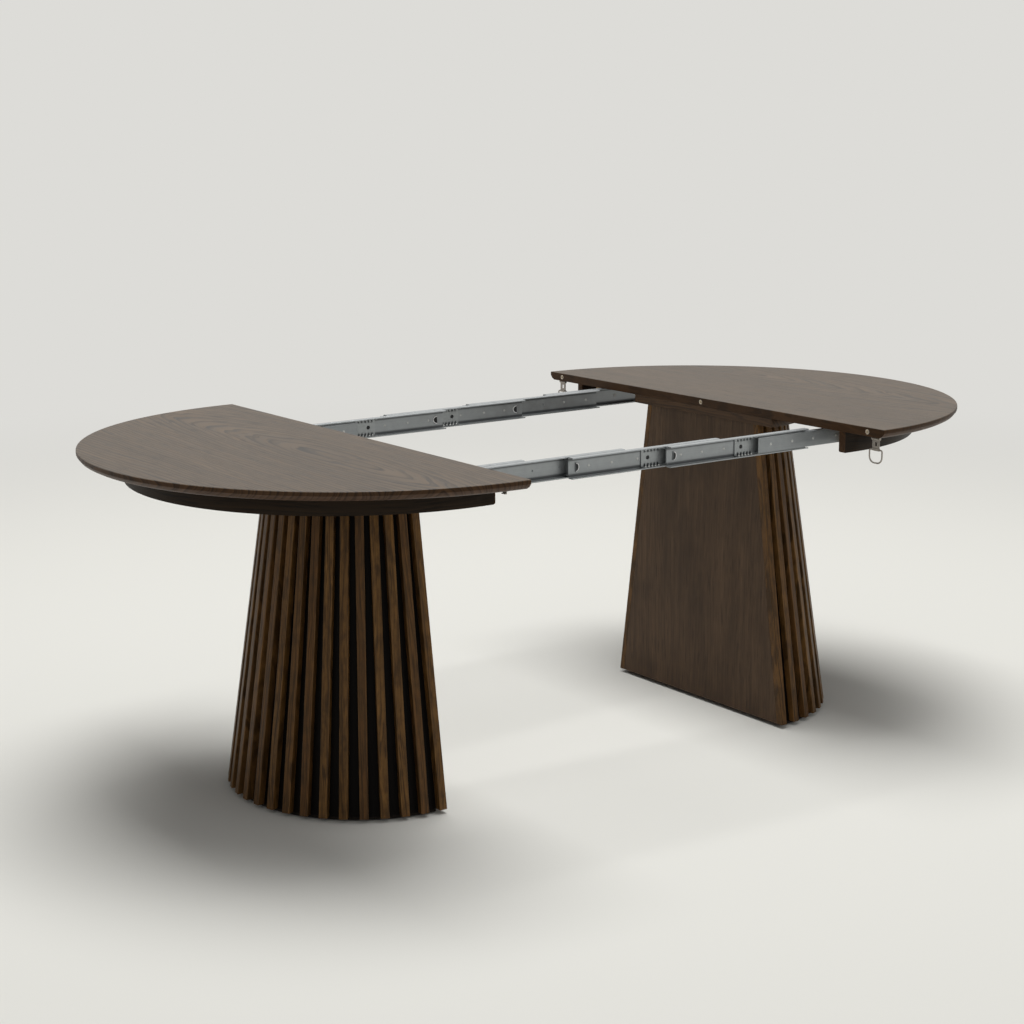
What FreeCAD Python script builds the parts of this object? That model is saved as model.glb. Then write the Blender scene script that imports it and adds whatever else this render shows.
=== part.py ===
import FreeCAD, Part
import math
import os

# A round dining table that pulls apart to take leaves, shown open and without a leaf.
# Millimetres, +Z up. The origin is on the floor midway between the two halves. X runs along the
# extension, and the open sides of both slides face -Y.

# Whole table
TOP_DIAMETER = 1200.0
TABLE_HEIGHT = 750.0
LEAF_GAP = 940.0
SHUT_GAP = 0.5

# Top boards: a square band above a soft bevel
TOP_THICKNESS = 20.0
EDGE_BAND = 8.5
EDGE_BEVEL = 14.0
EDGE_BULGE = 2.0
EDGE_ARRIS = 1.5

# Alignment pins in the left split edge, lined sockets in the right one
PIN_DIAMETER = 8.0
PIN_PROUD = 12.0
PIN_NOSE = 1.5
PIN_TAIL_DIAMETER = 9.0
PIN_TAIL_LENGTH = 18.0
PIN_RIM_DISTANCE = 50.0
PIN_GLUE = 0.05
SOCKET_CLEARANCE = 0.3
SOCKET_SPARE_DEPTH = 3.0
SOCKET_BUSH_WALL = 1.7
FLUTE_SIDES = 10

# Curved apron under each half
APRON_INSET = 118.0
APRON_STRAIGHT = 26.0
APRON_THICKNESS = 17.0
APRON_HEIGHT = 47.0
APRON_END_ROUND = 5.0

# Half-cone pedestals: a flat panel, a bent backing and upright slats
PEDESTAL_FOOT_RADIUS = 303.0
HEAD_PLATE_OVERHANG = 48.0
HEAD_PLATE_THICKNESS = 20.0
PANEL_RECESS = 1.5
PANEL_THICKNESS = 18.0
SLAT_WIDTH = 18.0
SLAT_HEAD_GAP = 10.5
SLAT_DEPTH = 16.0
SLAT_EASE = 1.2
BACKING_THICKNESS = 9.0
FORMER_THICKNESS = 18.0
GLUE_LINE = 0.1
PLINTH_THICKNESS = 6.0
PLINTH_SETBACK = 16.0
GLIDE_RADIUS = 12.5
GLIDE_HEIGHT = 3.0
GLIDE_INSET = 28.0
GLIDE_SIDES = 12
GLIDE_ANGLES = (-75.0, -25.0, 25.0, 75.0)

# Ball-bearing slides: five members in each, every one a step further along X and -Y. The first
# two channels have no stop, and their cages have crept out of sight behind the next member.
SLIDE_MEMBERS = 5
PLAIN_MEMBERS = 2
SLIDE_LENGTH = 400.0
SLIDE_SHUT_STEP = 12.0
SLIDE_PITCH = 19.0
SLIDE_PLATE_DISTANCE = 50.0
SLIDE_APRON_DISTANCE = 47.0
SLIDE_TOP_GAP = 1.0
STRIP = 1.5
CHANNEL_HEIGHT = 45.0
CHANNEL_DEPTH = 16.5
CHANNEL_BEND = 3.0
CHANNEL_LIP = 2.8
BALL_DIAMETER = 4.7
TRACK_DEPTH = 0.7
SCREW_PROUD = 0.8
LANCE_STATION = 18.0
LANCE_RADIUS = 9.0
LANCE_RISE = 3.0
LANCE_SLIT = 2.0
LANCE_SIDES = 12
WEB_HOLE_STATIONS = (168.0, 238.0)
WEB_HOLE_RADIUS = 2.4
WEB_HOLE_SIDES = 8
CAGE_STRIP = 0.8
CAGE_CLEARANCE = 0.7
CAGE_FLANGE = 12.5
CAGE_TAIL = 144.0
CAGE_PROUD = 56.0
CAGE_CREPT = 8.0
CAGE_BALLS = 5
CAGE_BALL_PITCH = 9.0
CAGE_POCKET_SPARE = 0.5
CAGE_POCKET_REACH = 7.0
CAGE_HOLE_STATION = 18.0
CAGE_HOLE_RADIUS = 4.5
CAGE_HOLE_SIDES = 8

# Wooden bearers that carry the ends of the slides
BEARER_WIDTH = 22.0
BEARER_SPLIT_DISTANCE = 10.0
BEARER_OPEN_DISTANCE = 80.0
BEARER_APRON_GAP = 10.0

# Screws
SLIDE_SCREW_RADIUS = 2.0
SLIDE_SCREW_HEAD = 4.0
SLIDE_SCREW_LENGTH = 16.0
SLIDE_SCREW_SHARES = (0.2, 0.8)
PLATE_SCREW_RADIUS = 3.0
PLATE_SCREW_HEAD = 6.0
PLATE_SCREW_HEAD_HEIGHT = 4.0
PLATE_SCREW_BITE = 12.0
PLATE_SCREW_INSET = 20.0
PLATE_SCREW_ANGLES = (-60.0, 0.0, 60.0)
SCREW_FIT = 0.1
SCREW_SIDES = 6
SCREW_HEAD_SIDES = 6

# Loop latches under the right half, hooks under the left half
LATCH_SETBACK = 14.0
LATCH_RIM_DISTANCE = 36.0
LATCH_SHEET = 1.5
LATCH_PLATE_LENGTH = 22.0
LATCH_FIT = 0.3
LATCH_PIN_RADIUS = 1.5
LATCH_EAR_REACH = 2.8
STRAP_WIDTH = 21.0
STRAP_LENGTH = 24.0
STRAP_EYE_WALL = 1.2
STRAP_EYE_SIDES = 12
STRAP_SLOT_WIDTH = 7.0
STRAP_SLOT_LENGTH = 9.0
LOOP_WIRE_RADIUS = 1.4
LOOP_WIDTH = 38.0
LOOP_LENGTH = 30.0
LOOP_TOP_BEND = 4.0
LOOP_END_BEND = 14.0
LOOP_SIDES = 8
LOOP_BEND_STEPS = 3
HOOK_WIDTH = 12.0
HOOK_CLEARANCE = 1.1
HOOK_DROP = 7.2
HOOK_LIP = 3.0
HOOK_PLATE_LENGTH = 24.0

# Levels and places that follow from the sizes above
TOP_RADIUS = TOP_DIAMETER / 2
UNDERSIDE = TABLE_HEIGHT - TOP_THICKNESS
PEDESTAL_HEAD = UNDERSIDE - HEAD_PLATE_THICKNESS
PEDESTAL_FOOT = GLIDE_HEIGHT + PLINTH_THICKNESS
PANEL_BACK = PANEL_RECESS + PANEL_THICKNESS
FAN_X = PANEL_RECESS + SLAT_WIDTH / 2
APRON_RADIUS = TOP_RADIUS - APRON_INSET
PIN_Y = TOP_RADIUS - PIN_RIM_DISTANCE
PIN_Z = TABLE_HEIGHT - TOP_THICKNESS / 2
SOCKET_RADIUS = PIN_DIAMETER / 2 + SOCKET_CLEARANCE
SOCKET_DEPTH = PIN_PROUD + SOCKET_SPARE_DEPTH
SLIDE_STEP = LEAF_GAP / (SLIDE_MEMBERS - 1) + SLIDE_SHUT_STEP
SLIDE_Z = UNDERSIDE - SLIDE_TOP_GAP - CHANNEL_HEIGHT / 2
SLIDE_OUTER_Y = APRON_RADIUS - APRON_THICKNESS - SLIDE_APRON_DISTANCE - BEARER_WIDTH
SLIDE_INNER_Y = SLIDE_OUTER_Y - (SLIDE_MEMBERS - 1) * SLIDE_PITCH
HEAD_PLATE_RADIUS = SLIDE_INNER_Y - BEARER_WIDTH - SLIDE_PLATE_DISTANCE
PEDESTAL_HEAD_RADIUS = HEAD_PLATE_RADIUS - HEAD_PLATE_OVERHANG
SLAT_COUNT = int(math.pi * PEDESTAL_HEAD_RADIUS / (SLAT_WIDTH + SLAT_HEAD_GAP)) + 1
TRACK_Z = CHANNEL_HEIGHT / 2 - STRIP - BALL_DIAMETER / 2
TRACK_U = CHANNEL_DEPTH / 2
CAGE_BACK = STRIP + SCREW_PROUD + CAGE_CLEARANCE
RAIL_TIP = CAGE_BACK + CAGE_STRIP + CAGE_CLEARANCE
RAIL_HALF = TRACK_Z - BALL_DIAMETER / 2 + TRACK_DEPTH
BEARER_BOTTOM = SLIDE_Z - CHANNEL_HEIGHT / 2
LATCH_Y = TOP_RADIUS - LATCH_RIM_DISTANCE
LATCH_PIN_Z = UNDERSIDE - LATCH_SHEET - LATCH_FIT - LATCH_PIN_RADIUS - LATCH_FIT - STRAP_EYE_WALL
LOOP_PIN_Z = LATCH_PIN_Z - STRAP_LENGTH
UP = FreeCAD.Vector(0, 0, 1)
ALONG_X = FreeCAD.Vector(1, 0, 0)
ALONG_Y = FreeCAD.Vector(0, 1, 0)


def point(x, y, z):
    return FreeCAD.Vector(x, y, z)


def line(start, end):
    return Part.LineSegment(start, end).toShape()


def arc(start, middle, end):
    return Part.Arc(start, middle, end).toShape()


def polygon_face(corners):
    return Part.Face(Part.makePolygon(corners + corners[:1]))


def box(x0, x1, y0, y1, z0, z1):
    return Part.makeBox(x1 - x0, y1 - y0, z1 - z0, point(x0, y0, z0))


def round_prism(radius, length, foot, direction, sides):
    """Small round bar or hole with flat sides, which repeats many times and so gets few faces."""
    across = ALONG_X if abs(direction.z) > 0.5 else UP
    other = direction.cross(across)
    reach = radius / math.cos(math.pi / sides)
    corners = []
    for i in range(sides):
        turn = (i + 0.5) * 2 * math.pi / sides
        corners.append(foot + across * (reach * math.cos(turn)) + other * (reach * math.sin(turn)))
    return polygon_face(corners).extrude(direction * length)


def closed_solid(faces):
    """Solid inside flat faces, with its outside turned outwards."""
    solid = Part.Solid(Part.Shell(faces))
    if solid.Volume < 0:
        solid.reverse()
    return solid


def half_turn(face, axis_x):
    """Turn a face that stands in the -Y half plane through +X to +Y."""
    return face.revolve(point(axis_x, 0, 0), UP, 180)


def on_right(shape):
    return shape.translated(point(LEAF_GAP / 2, 0, 0))


def on_left(shape):
    return on_right(shape).mirror(point(0, 0, 0), ALONG_X)


def save(node, *solids):
    shape = solids[0] if len(solids) == 1 else Part.makeCompound(list(solids))
    shape.exportStep("parts/%s.step" % node)


# Each function below models one half with its split edge in the plane x = 0 and its rim towards +X.


def half_top():
    """Half-round board: square upper edge, eased arris and a double bevel that bulges a little."""
    band = TABLE_HEIGHT - EDGE_BAND
    drop = band - UNDERSIDE
    slope = math.hypot(EDGE_BEVEL, drop)
    knee_in = EDGE_BEVEL / 2 - EDGE_BULGE * drop / slope
    knee_z = band - drop / 2 - EDGE_BULGE * EDGE_BEVEL / slope
    face = polygon_face([
        point(0, 0, UNDERSIDE), point(0, -TOP_RADIUS + EDGE_BEVEL, UNDERSIDE),
        point(0, -TOP_RADIUS + knee_in, knee_z), point(0, -TOP_RADIUS, band),
        point(0, -TOP_RADIUS, TABLE_HEIGHT - EDGE_ARRIS),
        point(0, -TOP_RADIUS + EDGE_ARRIS, TABLE_HEIGHT), point(0, 0, TABLE_HEIGHT),
    ])
    return half_turn(face, 0)


def pin_rows():
    return (-PIN_Y, 0.0, PIN_Y)


def fluted(radius, depth):
    """Fluted plugs in the split edge, one for each pin: tails, bushes and the holes that take them."""
    return [round_prism(radius, depth, point(0, y, PIN_Z), ALONG_X, FLUTE_SIDES) for y in pin_rows()]


def alignment_pins():
    """Moulded pins with a chamfered nose and a fluted tail, driven into the left split edge."""
    pins = []
    radius = PIN_DIAMETER / 2
    for y, tail in zip(pin_rows(), fluted(PIN_TAIL_DIAMETER / 2, PIN_TAIL_LENGTH)):
        profile = polygon_face([
            point(-PIN_PROUD, y, PIN_Z), point(-PIN_PROUD, y, PIN_Z + radius - PIN_NOSE),
            point(-PIN_PROUD + PIN_NOSE, y, PIN_Z + radius), point(0, y, PIN_Z + radius),
            point(0, y, PIN_Z),
        ])
        nose = profile.revolve(point(0, y, PIN_Z), ALONG_X, 360)
        pins.append(nose.fuse(tail).removeSplitter())
    return pins


def socket_bushes():
    """Fluted sleeves in the right split edge that take the pins of a leaf or of the other half."""
    bushes = []
    for y, sleeve in zip(pin_rows(), fluted(SOCKET_RADIUS + SOCKET_BUSH_WALL, SOCKET_DEPTH)):
        bore = Part.makeCylinder(SOCKET_RADIUS, SOCKET_DEPTH, point(0, y, PIN_Z), ALONG_X)
        bushes.append(sleeve.cut(bore))
    return bushes


def apron():
    """Bent board: a half circle with two short straight ends, rounded at their lower corners."""
    bottom = UNDERSIDE - APRON_HEIGHT
    inner = APRON_RADIUS - APRON_THICKNESS
    s = APRON_STRAIGHT
    outline = Part.Wire([
        line(point(0, -APRON_RADIUS, bottom), point(s, -APRON_RADIUS, bottom)),
        arc(point(s, -APRON_RADIUS, bottom), point(s + APRON_RADIUS, 0, bottom),
            point(s, APRON_RADIUS, bottom)),
        line(point(s, APRON_RADIUS, bottom), point(0, APRON_RADIUS, bottom)),
        line(point(0, APRON_RADIUS, bottom), point(0, inner, bottom)),
        line(point(0, inner, bottom), point(s, inner, bottom)),
        arc(point(s, inner, bottom), point(s + inner, 0, bottom), point(s, -inner, bottom)),
        line(point(s, -inner, bottom), point(0, -inner, bottom)),
        line(point(0, -inner, bottom), point(0, -APRON_RADIUS, bottom)),
    ])
    board = Part.Face(outline).extrude(UP * APRON_HEIGHT)
    corners = [e for e in board.Edges if abs(e.CenterOfMass.x) < GLUE_LINE]
    corners = [e for e in corners if abs(e.CenterOfMass.z - bottom) < GLUE_LINE]
    return board.makeFillet(APRON_END_ROUND, corners)


def apron_room(y):
    """How far from the split the inside of the apron lies at y."""
    return APRON_STRAIGHT + math.sqrt((APRON_RADIUS - APRON_THICKNESS) ** 2 - y ** 2)


def pedestal_radius(z):
    """Outer radius of the slats at a height."""
    share = (z - PEDESTAL_FOOT) / (PEDESTAL_HEAD - PEDESTAL_FOOT)
    return PEDESTAL_FOOT_RADIUS + share * (PEDESTAL_HEAD_RADIUS - PEDESTAL_FOOT_RADIUS)


def fan_outline(inset, z):
    """Half outline of the pedestal inside the slats, with one flat facet behind each slat."""
    apothem = pedestal_radius(z) - inset
    step = math.pi / (SLAT_COUNT - 1)
    corner = apothem / math.cos(step / 2)
    corners = [point(PANEL_BACK, -apothem, z)]
    for i in range(SLAT_COUNT - 1):
        turn = (i + 0.5) * step
        corners.append(point(FAN_X + corner * math.sin(turn), -corner * math.cos(turn), z))
    corners.append(point(PANEL_BACK, apothem, z))
    return corners


def tapered(outline_at, z0, z1):
    """Solid with flat sides between the same outline taken at two heights."""
    low = outline_at(z0)
    high = outline_at(z1)
    faces = [polygon_face(low), polygon_face(high)]
    for i in range(len(low)):
        faces.append(polygon_face([low[i - 1], low[i], high[i], high[i - 1]]))
    return closed_solid(faces)


def head_plate():
    """Half-round board that joins the pedestal to the underside of the top."""
    face = polygon_face([
        point(0, 0, PEDESTAL_HEAD), point(0, -HEAD_PLATE_RADIUS, PEDESTAL_HEAD),
        point(0, -HEAD_PLATE_RADIUS, UNDERSIDE), point(0, 0, UNDERSIDE),
    ])
    return half_turn(face, 0)


def panel():
    """Flat panel in the plane of the split, set back so that the tops meet first."""
    foot = PEDESTAL_FOOT_RADIUS - SLAT_DEPTH - GLUE_LINE
    head = PEDESTAL_HEAD_RADIUS - SLAT_DEPTH - GLUE_LINE
    face = polygon_face([
        point(PANEL_RECESS, -foot, PEDESTAL_FOOT), point(PANEL_RECESS, foot, PEDESTAL_FOOT),
        point(PANEL_RECESS, head, PEDESTAL_HEAD), point(PANEL_RECESS, -head, PEDESTAL_HEAD),
    ])
    return face.extrude(ALONG_X * PANEL_THICKNESS)


def slats():
    """Straight bars fanned round the cone; the first and last lie flush with the panel's face."""
    outer = -PEDESTAL_FOOT_RADIUS
    inner = outer + SLAT_DEPTH
    half = SLAT_WIDTH / 2
    section = polygon_face([
        point(FAN_X - half, inner, PEDESTAL_FOOT),
        point(FAN_X - half, outer + SLAT_EASE, PEDESTAL_FOOT),
        point(FAN_X - half + SLAT_EASE, outer, PEDESTAL_FOOT),
        point(FAN_X + half - SLAT_EASE, outer, PEDESTAL_FOOT),
        point(FAN_X + half, outer + SLAT_EASE, PEDESTAL_FOOT),
        point(FAN_X + half, inner, PEDESTAL_FOOT),
    ])
    lean = PEDESTAL_FOOT_RADIUS - PEDESTAL_HEAD_RADIUS
    bar = section.extrude(point(0, lean, PEDESTAL_HEAD - PEDESTAL_FOOT))
    step = 180.0 / (SLAT_COUNT - 1)
    return [bar.rotated(point(FAN_X, 0, 0), UP, i * step) for i in range(SLAT_COUNT)]


def backing():
    """Kerf-bent board behind the slats, black in the gaps, butted against the panel's back."""
    skin = SLAT_DEPTH + GLUE_LINE

    def outline(z):
        return fan_outline(skin, z) + fan_outline(skin + BACKING_THICKNESS, z)[::-1]

    return tapered(outline, PEDESTAL_FOOT, PEDESTAL_HEAD)


def formers():
    """Boards at the foot, middle and head that hold the backing to its curve."""
    inset = SLAT_DEPTH + BACKING_THICKNESS + 2 * GLUE_LINE
    middle = (PEDESTAL_FOOT + PEDESTAL_HEAD - FORMER_THICKNESS) / 2
    levels = (PEDESTAL_FOOT, middle, PEDESTAL_HEAD - FORMER_THICKNESS)
    return [tapered(lambda z: fan_outline(inset, z), low, low + FORMER_THICKNESS) for low in levels]


def plinth():
    """Dark board under the pedestal, set in from its outline."""
    outline = polygon_face(fan_outline(PLINTH_SETBACK, PEDESTAL_FOOT))
    return outline.extrude(UP * -PLINTH_THICKNESS)


def glides():
    """Nylon pads that the half stands and slides on."""
    radius = PEDESTAL_FOOT_RADIUS - PLINTH_SETBACK - GLIDE_INSET
    pads = []
    for angle in GLIDE_ANGLES:
        turn = math.radians(angle)
        foot = point(FAN_X + radius * math.cos(turn), radius * math.sin(turn), 0)
        pads.append(round_prism(GLIDE_RADIUS, GLIDE_HEIGHT, foot, UP, GLIDE_SIDES))
    return pads


def latch_rows():
    return (-LATCH_Y, LATCH_Y)


def latch_plates():
    """Pressed plates under the top, each with two ears and the hinge pin riveted between them."""
    plates = []
    inner = STRAP_WIDTH / 2 + LATCH_FIT
    outer = inner + LATCH_SHEET
    plate_z = UNDERSIDE - LATCH_SHEET
    foot = LATCH_PIN_Z - LATCH_EAR_REACH
    front = LATCH_SETBACK - LATCH_EAR_REACH
    back = LATCH_SETBACK + LATCH_EAR_REACH
    for y in latch_rows():
        plate = box(front, front + LATCH_PLATE_LENGTH, y - outer, y + outer, plate_z, UNDERSIDE)
        for ear_y in (y - outer, y + inner):
            ear = polygon_face([
                point(front, ear_y, plate_z), point(back, ear_y, plate_z),
                point(back, ear_y, LATCH_PIN_Z), point(LATCH_SETBACK + LATCH_PIN_RADIUS, ear_y, foot),
                point(LATCH_SETBACK - LATCH_PIN_RADIUS, ear_y, foot), point(front, ear_y, LATCH_PIN_Z),
            ])
            plate = plate.fuse(ear.extrude(ALONG_Y * LATCH_SHEET))
        pin_end = point(LATCH_SETBACK, y - outer, LATCH_PIN_Z)
        pin = Part.makeCylinder(LATCH_PIN_RADIUS, 2 * outer, pin_end, ALONG_Y)
        plates.append(plate.fuse(pin).removeSplitter())
    return plates


def latch_strap(y):
    """Pressed strap with a rolled eye at each end: the hinge pin above, the wire loop below."""
    side = y - STRAP_WIDTH / 2
    pin_hole = LATCH_PIN_RADIUS + LATCH_FIT
    wire_hole = LOOP_WIRE_RADIUS + LATCH_FIT
    strap = box(LATCH_SETBACK - LATCH_SHEET / 2, LATCH_SETBACK + LATCH_SHEET / 2,
                side, side + STRAP_WIDTH, LOOP_PIN_Z, LATCH_PIN_Z)
    eyes = ((LATCH_PIN_Z, pin_hole), (LOOP_PIN_Z, wire_hole))
    for z, hole in eyes:
        end = point(LATCH_SETBACK, side, z)
        strap = strap.fuse(round_prism(hole + STRAP_EYE_WALL, STRAP_WIDTH, end, ALONG_Y, STRAP_EYE_SIDES))
    for z, hole in eyes:
        strap = strap.cut(Part.makeCylinder(hole, STRAP_WIDTH, point(LATCH_SETBACK, side, z), ALONG_Y))
    middle = (LATCH_PIN_Z + LOOP_PIN_Z) / 2
    slot = box(LATCH_SETBACK - LATCH_SHEET, LATCH_SETBACK + LATCH_SHEET,
               y - STRAP_SLOT_WIDTH / 2, y + STRAP_SLOT_WIDTH / 2,
               middle - STRAP_SLOT_LENGTH / 2, middle + STRAP_SLOT_LENGTH / 2)
    return strap.cut(slot).removeSplitter()


def loop_path(y):
    """Points round the loop's centre line: square at the strap and round at its free end."""
    half = LOOP_WIDTH / 2
    head = LOOP_PIN_Z
    foot = LOOP_PIN_Z - LOOP_LENGTH
    bends = (
        (half - LOOP_TOP_BEND, head - LOOP_TOP_BEND, LOOP_TOP_BEND, 90),
        (half - LOOP_END_BEND, foot + LOOP_END_BEND, LOOP_END_BEND, 0),
        (-half + LOOP_END_BEND, foot + LOOP_END_BEND, LOOP_END_BEND, -90),
        (-half + LOOP_TOP_BEND, head - LOOP_TOP_BEND, LOOP_TOP_BEND, -180),
    )
    path = []
    for side, z, bend, start in bends:
        for i in range(LOOP_BEND_STEPS + 1):
            turn = math.radians(start - 90.0 * i / LOOP_BEND_STEPS)
            across = y + side + bend * math.cos(turn)
            path.append(point(LATCH_SETBACK, across, z + bend * math.sin(turn)))
    return path


def latch_loop(y):
    """Bent wire loop, mitred from point to point of its path."""
    path = loop_path(y)
    sections = []
    for i, here in enumerate(path):
        before = (here - path[i - 1]).normalize()
        after = (path[(i + 1) % len(path)] - here).normalize()
        sideways = (before + after).normalize().cross(ALONG_X)
        stretch = 1 / math.sqrt((1 + before.dot(after)) / 2)
        section = []
        for k in range(LOOP_SIDES):
            turn = (k + 0.5) * 2 * math.pi / LOOP_SIDES
            section.append(here + ALONG_X * (LOOP_WIRE_RADIUS * math.cos(turn))
                           + sideways * (LOOP_WIRE_RADIUS * math.sin(turn) * stretch))
        sections.append(section)
    faces = []
    for i, section in enumerate(sections):
        ahead = sections[(i + 1) % len(sections)]
        for k in range(LOOP_SIDES):
            n = (k + 1) % LOOP_SIDES
            faces.append(polygon_face([section[k], section[n], ahead[n], ahead[k]]))
    return closed_solid(faces)


def latch_hooks():
    """Bent hooks under the left half that the loops drop over when the halves are shut."""
    bar = STRAP_LENGTH + LOOP_LENGTH - LATCH_SETBACK - SHUT_GAP
    post = bar - LOOP_WIRE_RADIUS - HOOK_CLEARANCE
    plate_z = UNDERSIDE - LATCH_SHEET
    hooks = []
    for y in latch_rows():
        side = HOOK_WIDTH / 2
        hook = box(post - HOOK_PLATE_LENGTH, post, y - HOOK_WIDTH, y + HOOK_WIDTH, plate_z, UNDERSIDE)
        hook = hook.fuse(box(post - LATCH_SHEET, post, y - side, y + side, plate_z - HOOK_DROP, plate_z))
        hook = hook.fuse(box(post, post + HOOK_LIP, y - side, y + side,
                             plate_z - HOOK_DROP, plate_z - HOOK_DROP + LATCH_SHEET))
        hooks.append(hook.removeSplitter())
    return hooks


def screw_shank(seat, direction, radius, length):
    return round_prism(radius, length, seat, direction, SCREW_SIDES)


def hexagon_screw(seat, direction, radius, length, head_radius, head_height):
    """Screw whose hexagon head bears on its seat and whose shank runs on from there."""
    crown = seat - direction * head_height
    head = round_prism(head_radius, head_height, crown, direction, SCREW_HEAD_SIDES)
    return head.fuse(screw_shank(seat, direction, radius, length)).removeSplitter()


def plate_screw_seats():
    """Where the screws that run up through the head plate into the top bear on the plate."""
    reach = HEAD_PLATE_RADIUS - PLATE_SCREW_INSET
    turns = [math.radians(angle) for angle in PLATE_SCREW_ANGLES]
    return [point(reach * math.cos(t), reach * math.sin(t), PEDESTAL_HEAD) for t in turns]


def plate_screws():
    """Screws that hold the pedestal's head plate to the top."""
    length = HEAD_PLATE_THICKNESS + PLATE_SCREW_BITE
    screws = []
    for seat in plate_screw_seats():
        screws.append(hexagon_screw(seat, UP, PLATE_SCREW_RADIUS, length,
                                    PLATE_SCREW_HEAD, PLATE_SCREW_HEAD_HEIGHT))
    return screws


def drilled_for_plate_screws(shape):
    depth = HEAD_PLATE_THICKNESS + PLATE_SCREW_BITE + SCREW_FIT
    for seat in plate_screw_seats():
        shape = shape.cut(screw_shank(seat, UP, PLATE_SCREW_RADIUS + SCREW_FIT, depth))
    return shape


def bearer_span(rail_side, outer_y):
    """Start and end of a bearer: it stops short of the apron and of the slide's own end."""
    start = BEARER_OPEN_DISTANCE if rail_side else BEARER_SPLIT_DISTANCE
    slide_end = SLIDE_LENGTH / 2 + SLIDE_STEP * (SLIDE_MEMBERS - 1) / 2 - LEAF_GAP / 2
    return start, min(slide_end, apron_room(outer_y) - BEARER_APRON_GAP)


def bearer(slide_y, outward, rail_side):
    """Wooden rail glued under the top beside one end of a slide.

    Returns the rail, the screws that hold the slide to it, and the drills that these screws need
    in the slide's own web.
    """
    far_y = slide_y + outward * BEARER_WIDTH
    start, end = bearer_span(rail_side, max(abs(slide_y), abs(far_y)))
    y0, y1 = sorted((slide_y, far_y))
    rail = box(start, end, y0, y1, BEARER_BOTTOM, UNDERSIDE)
    direction = ALONG_Y * outward
    screws = []
    drills = []
    for share in SLIDE_SCREW_SHARES:
        seat = point(start + share * (end - start), slide_y - outward * STRIP, SLIDE_Z)
        drill = screw_shank(seat, direction, SLIDE_SCREW_RADIUS + SCREW_FIT,
                            SLIDE_SCREW_LENGTH + SCREW_FIT)
        screws.append(hexagon_screw(seat, direction, SLIDE_SCREW_RADIUS, SLIDE_SCREW_LENGTH,
                                    SLIDE_SCREW_HEAD, SCREW_PROUD))
        drills.append(drill)
        rail = rail.cut(drill)
    return rail, screws, drills


def half_bearers(near_rail_side):
    """The near and the far bearer of a half.

    The right half holds the slides by their outer faces, the left half by their inner faces.
    """
    face = SLIDE_OUTER_Y if near_rail_side else SLIDE_INNER_Y
    outward = 1 if near_rail_side else -1
    near = bearer(-face, -outward, near_rail_side)
    far = bearer(face, outward, not near_rail_side)
    return near, far


# The functions below model the near slide in place; the far slide is the same one turned end for end.


def slide_start(member):
    return (member - (SLIDE_MEMBERS - 1) / 2) * SLIDE_STEP - SLIDE_LENGTH / 2


def slide_back(member):
    return -SLIDE_INNER_Y - member * SLIDE_PITCH


def section_point(member, x, u, w):
    """u runs from a channel's back to its mouth, w up from the slide's middle."""
    return point(x, slide_back(member) - u, SLIDE_Z + w)


def channel(member, drills):
    """Roll-formed channel with bent corners and lips that keep the balls in."""
    x = slide_start(member)
    half = CHANNEL_HEIGHT / 2
    bend = CHANNEL_BEND
    short = 1 - math.sqrt(0.5)
    mouth = CHANNEL_DEPTH - STRIP

    def at(u, w):
        return section_point(member, x, u, w)

    edges = []
    for side in (1, -1):
        edges += [
            line(at(0, 0), at(0, side * (half - bend))),
            arc(at(0, side * (half - bend)), at(bend * short, side * (half - bend * short)),
                at(bend, side * half)),
            line(at(bend, side * half), at(mouth, side * half)),
            arc(at(mouth, side * half), at(CHANNEL_DEPTH - STRIP * short, side * (half - STRIP * short)),
                at(CHANNEL_DEPTH, side * (half - STRIP))),
            line(at(CHANNEL_DEPTH, side * (half - STRIP)), at(CHANNEL_DEPTH, side * (half - CHANNEL_LIP))),
            line(at(CHANNEL_DEPTH, side * (half - CHANNEL_LIP)), at(mouth, side * (half - CHANNEL_LIP))),
            line(at(mouth, side * (half - CHANNEL_LIP)), at(mouth, side * (half - STRIP))),
            line(at(mouth, side * (half - STRIP)), at(STRIP, side * (half - STRIP))),
            line(at(STRIP, side * (half - STRIP)), at(STRIP, 0)),
        ]
    outline = Part.Wire(Part.__sortEdges__(edges))
    shape = Part.Face(outline).extrude(ALONG_X * SLIDE_LENGTH).removeSplitter()
    if member >= PLAIN_MEMBERS:
        shape = lanced(shape, member)
    elif member > 0:
        shape = pierced(shape, member)
    for drill in drills:
        shape = shape.cut(drill)
    return shape


def lanced(shape, member):
    """Add the half-moon stop that is pressed out of the web near the leading end."""
    slit_x = slide_start(member) + LANCE_STATION
    web = section_point(member, slit_x, STRIP / 2, 0)
    front = slide_back(member) - STRIP
    moon = round_prism(LANCE_RADIUS, STRIP / 2 + LANCE_RISE, web, ALONG_Y * -1, LANCE_SIDES)
    ramp = polygon_face([
        point(slit_x, front + STRIP / 2, SLIDE_Z), point(slit_x, front - LANCE_RISE, SLIDE_Z),
        point(slit_x + LANCE_RADIUS, front, SLIDE_Z),
        point(slit_x + LANCE_RADIUS, front + STRIP / 2, SLIDE_Z),
    ])
    ramp = ramp.extrude(UP * (2 * LANCE_RADIUS)).translated(UP * -LANCE_RADIUS)
    slit = box(slit_x - LANCE_SLIT, slit_x, front - STRIP, front + 2 * STRIP,
               SLIDE_Z - LANCE_RADIUS, SLIDE_Z + LANCE_RADIUS)
    return shape.fuse(moon.common(ramp)).removeSplitter().cut(slit)


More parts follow.
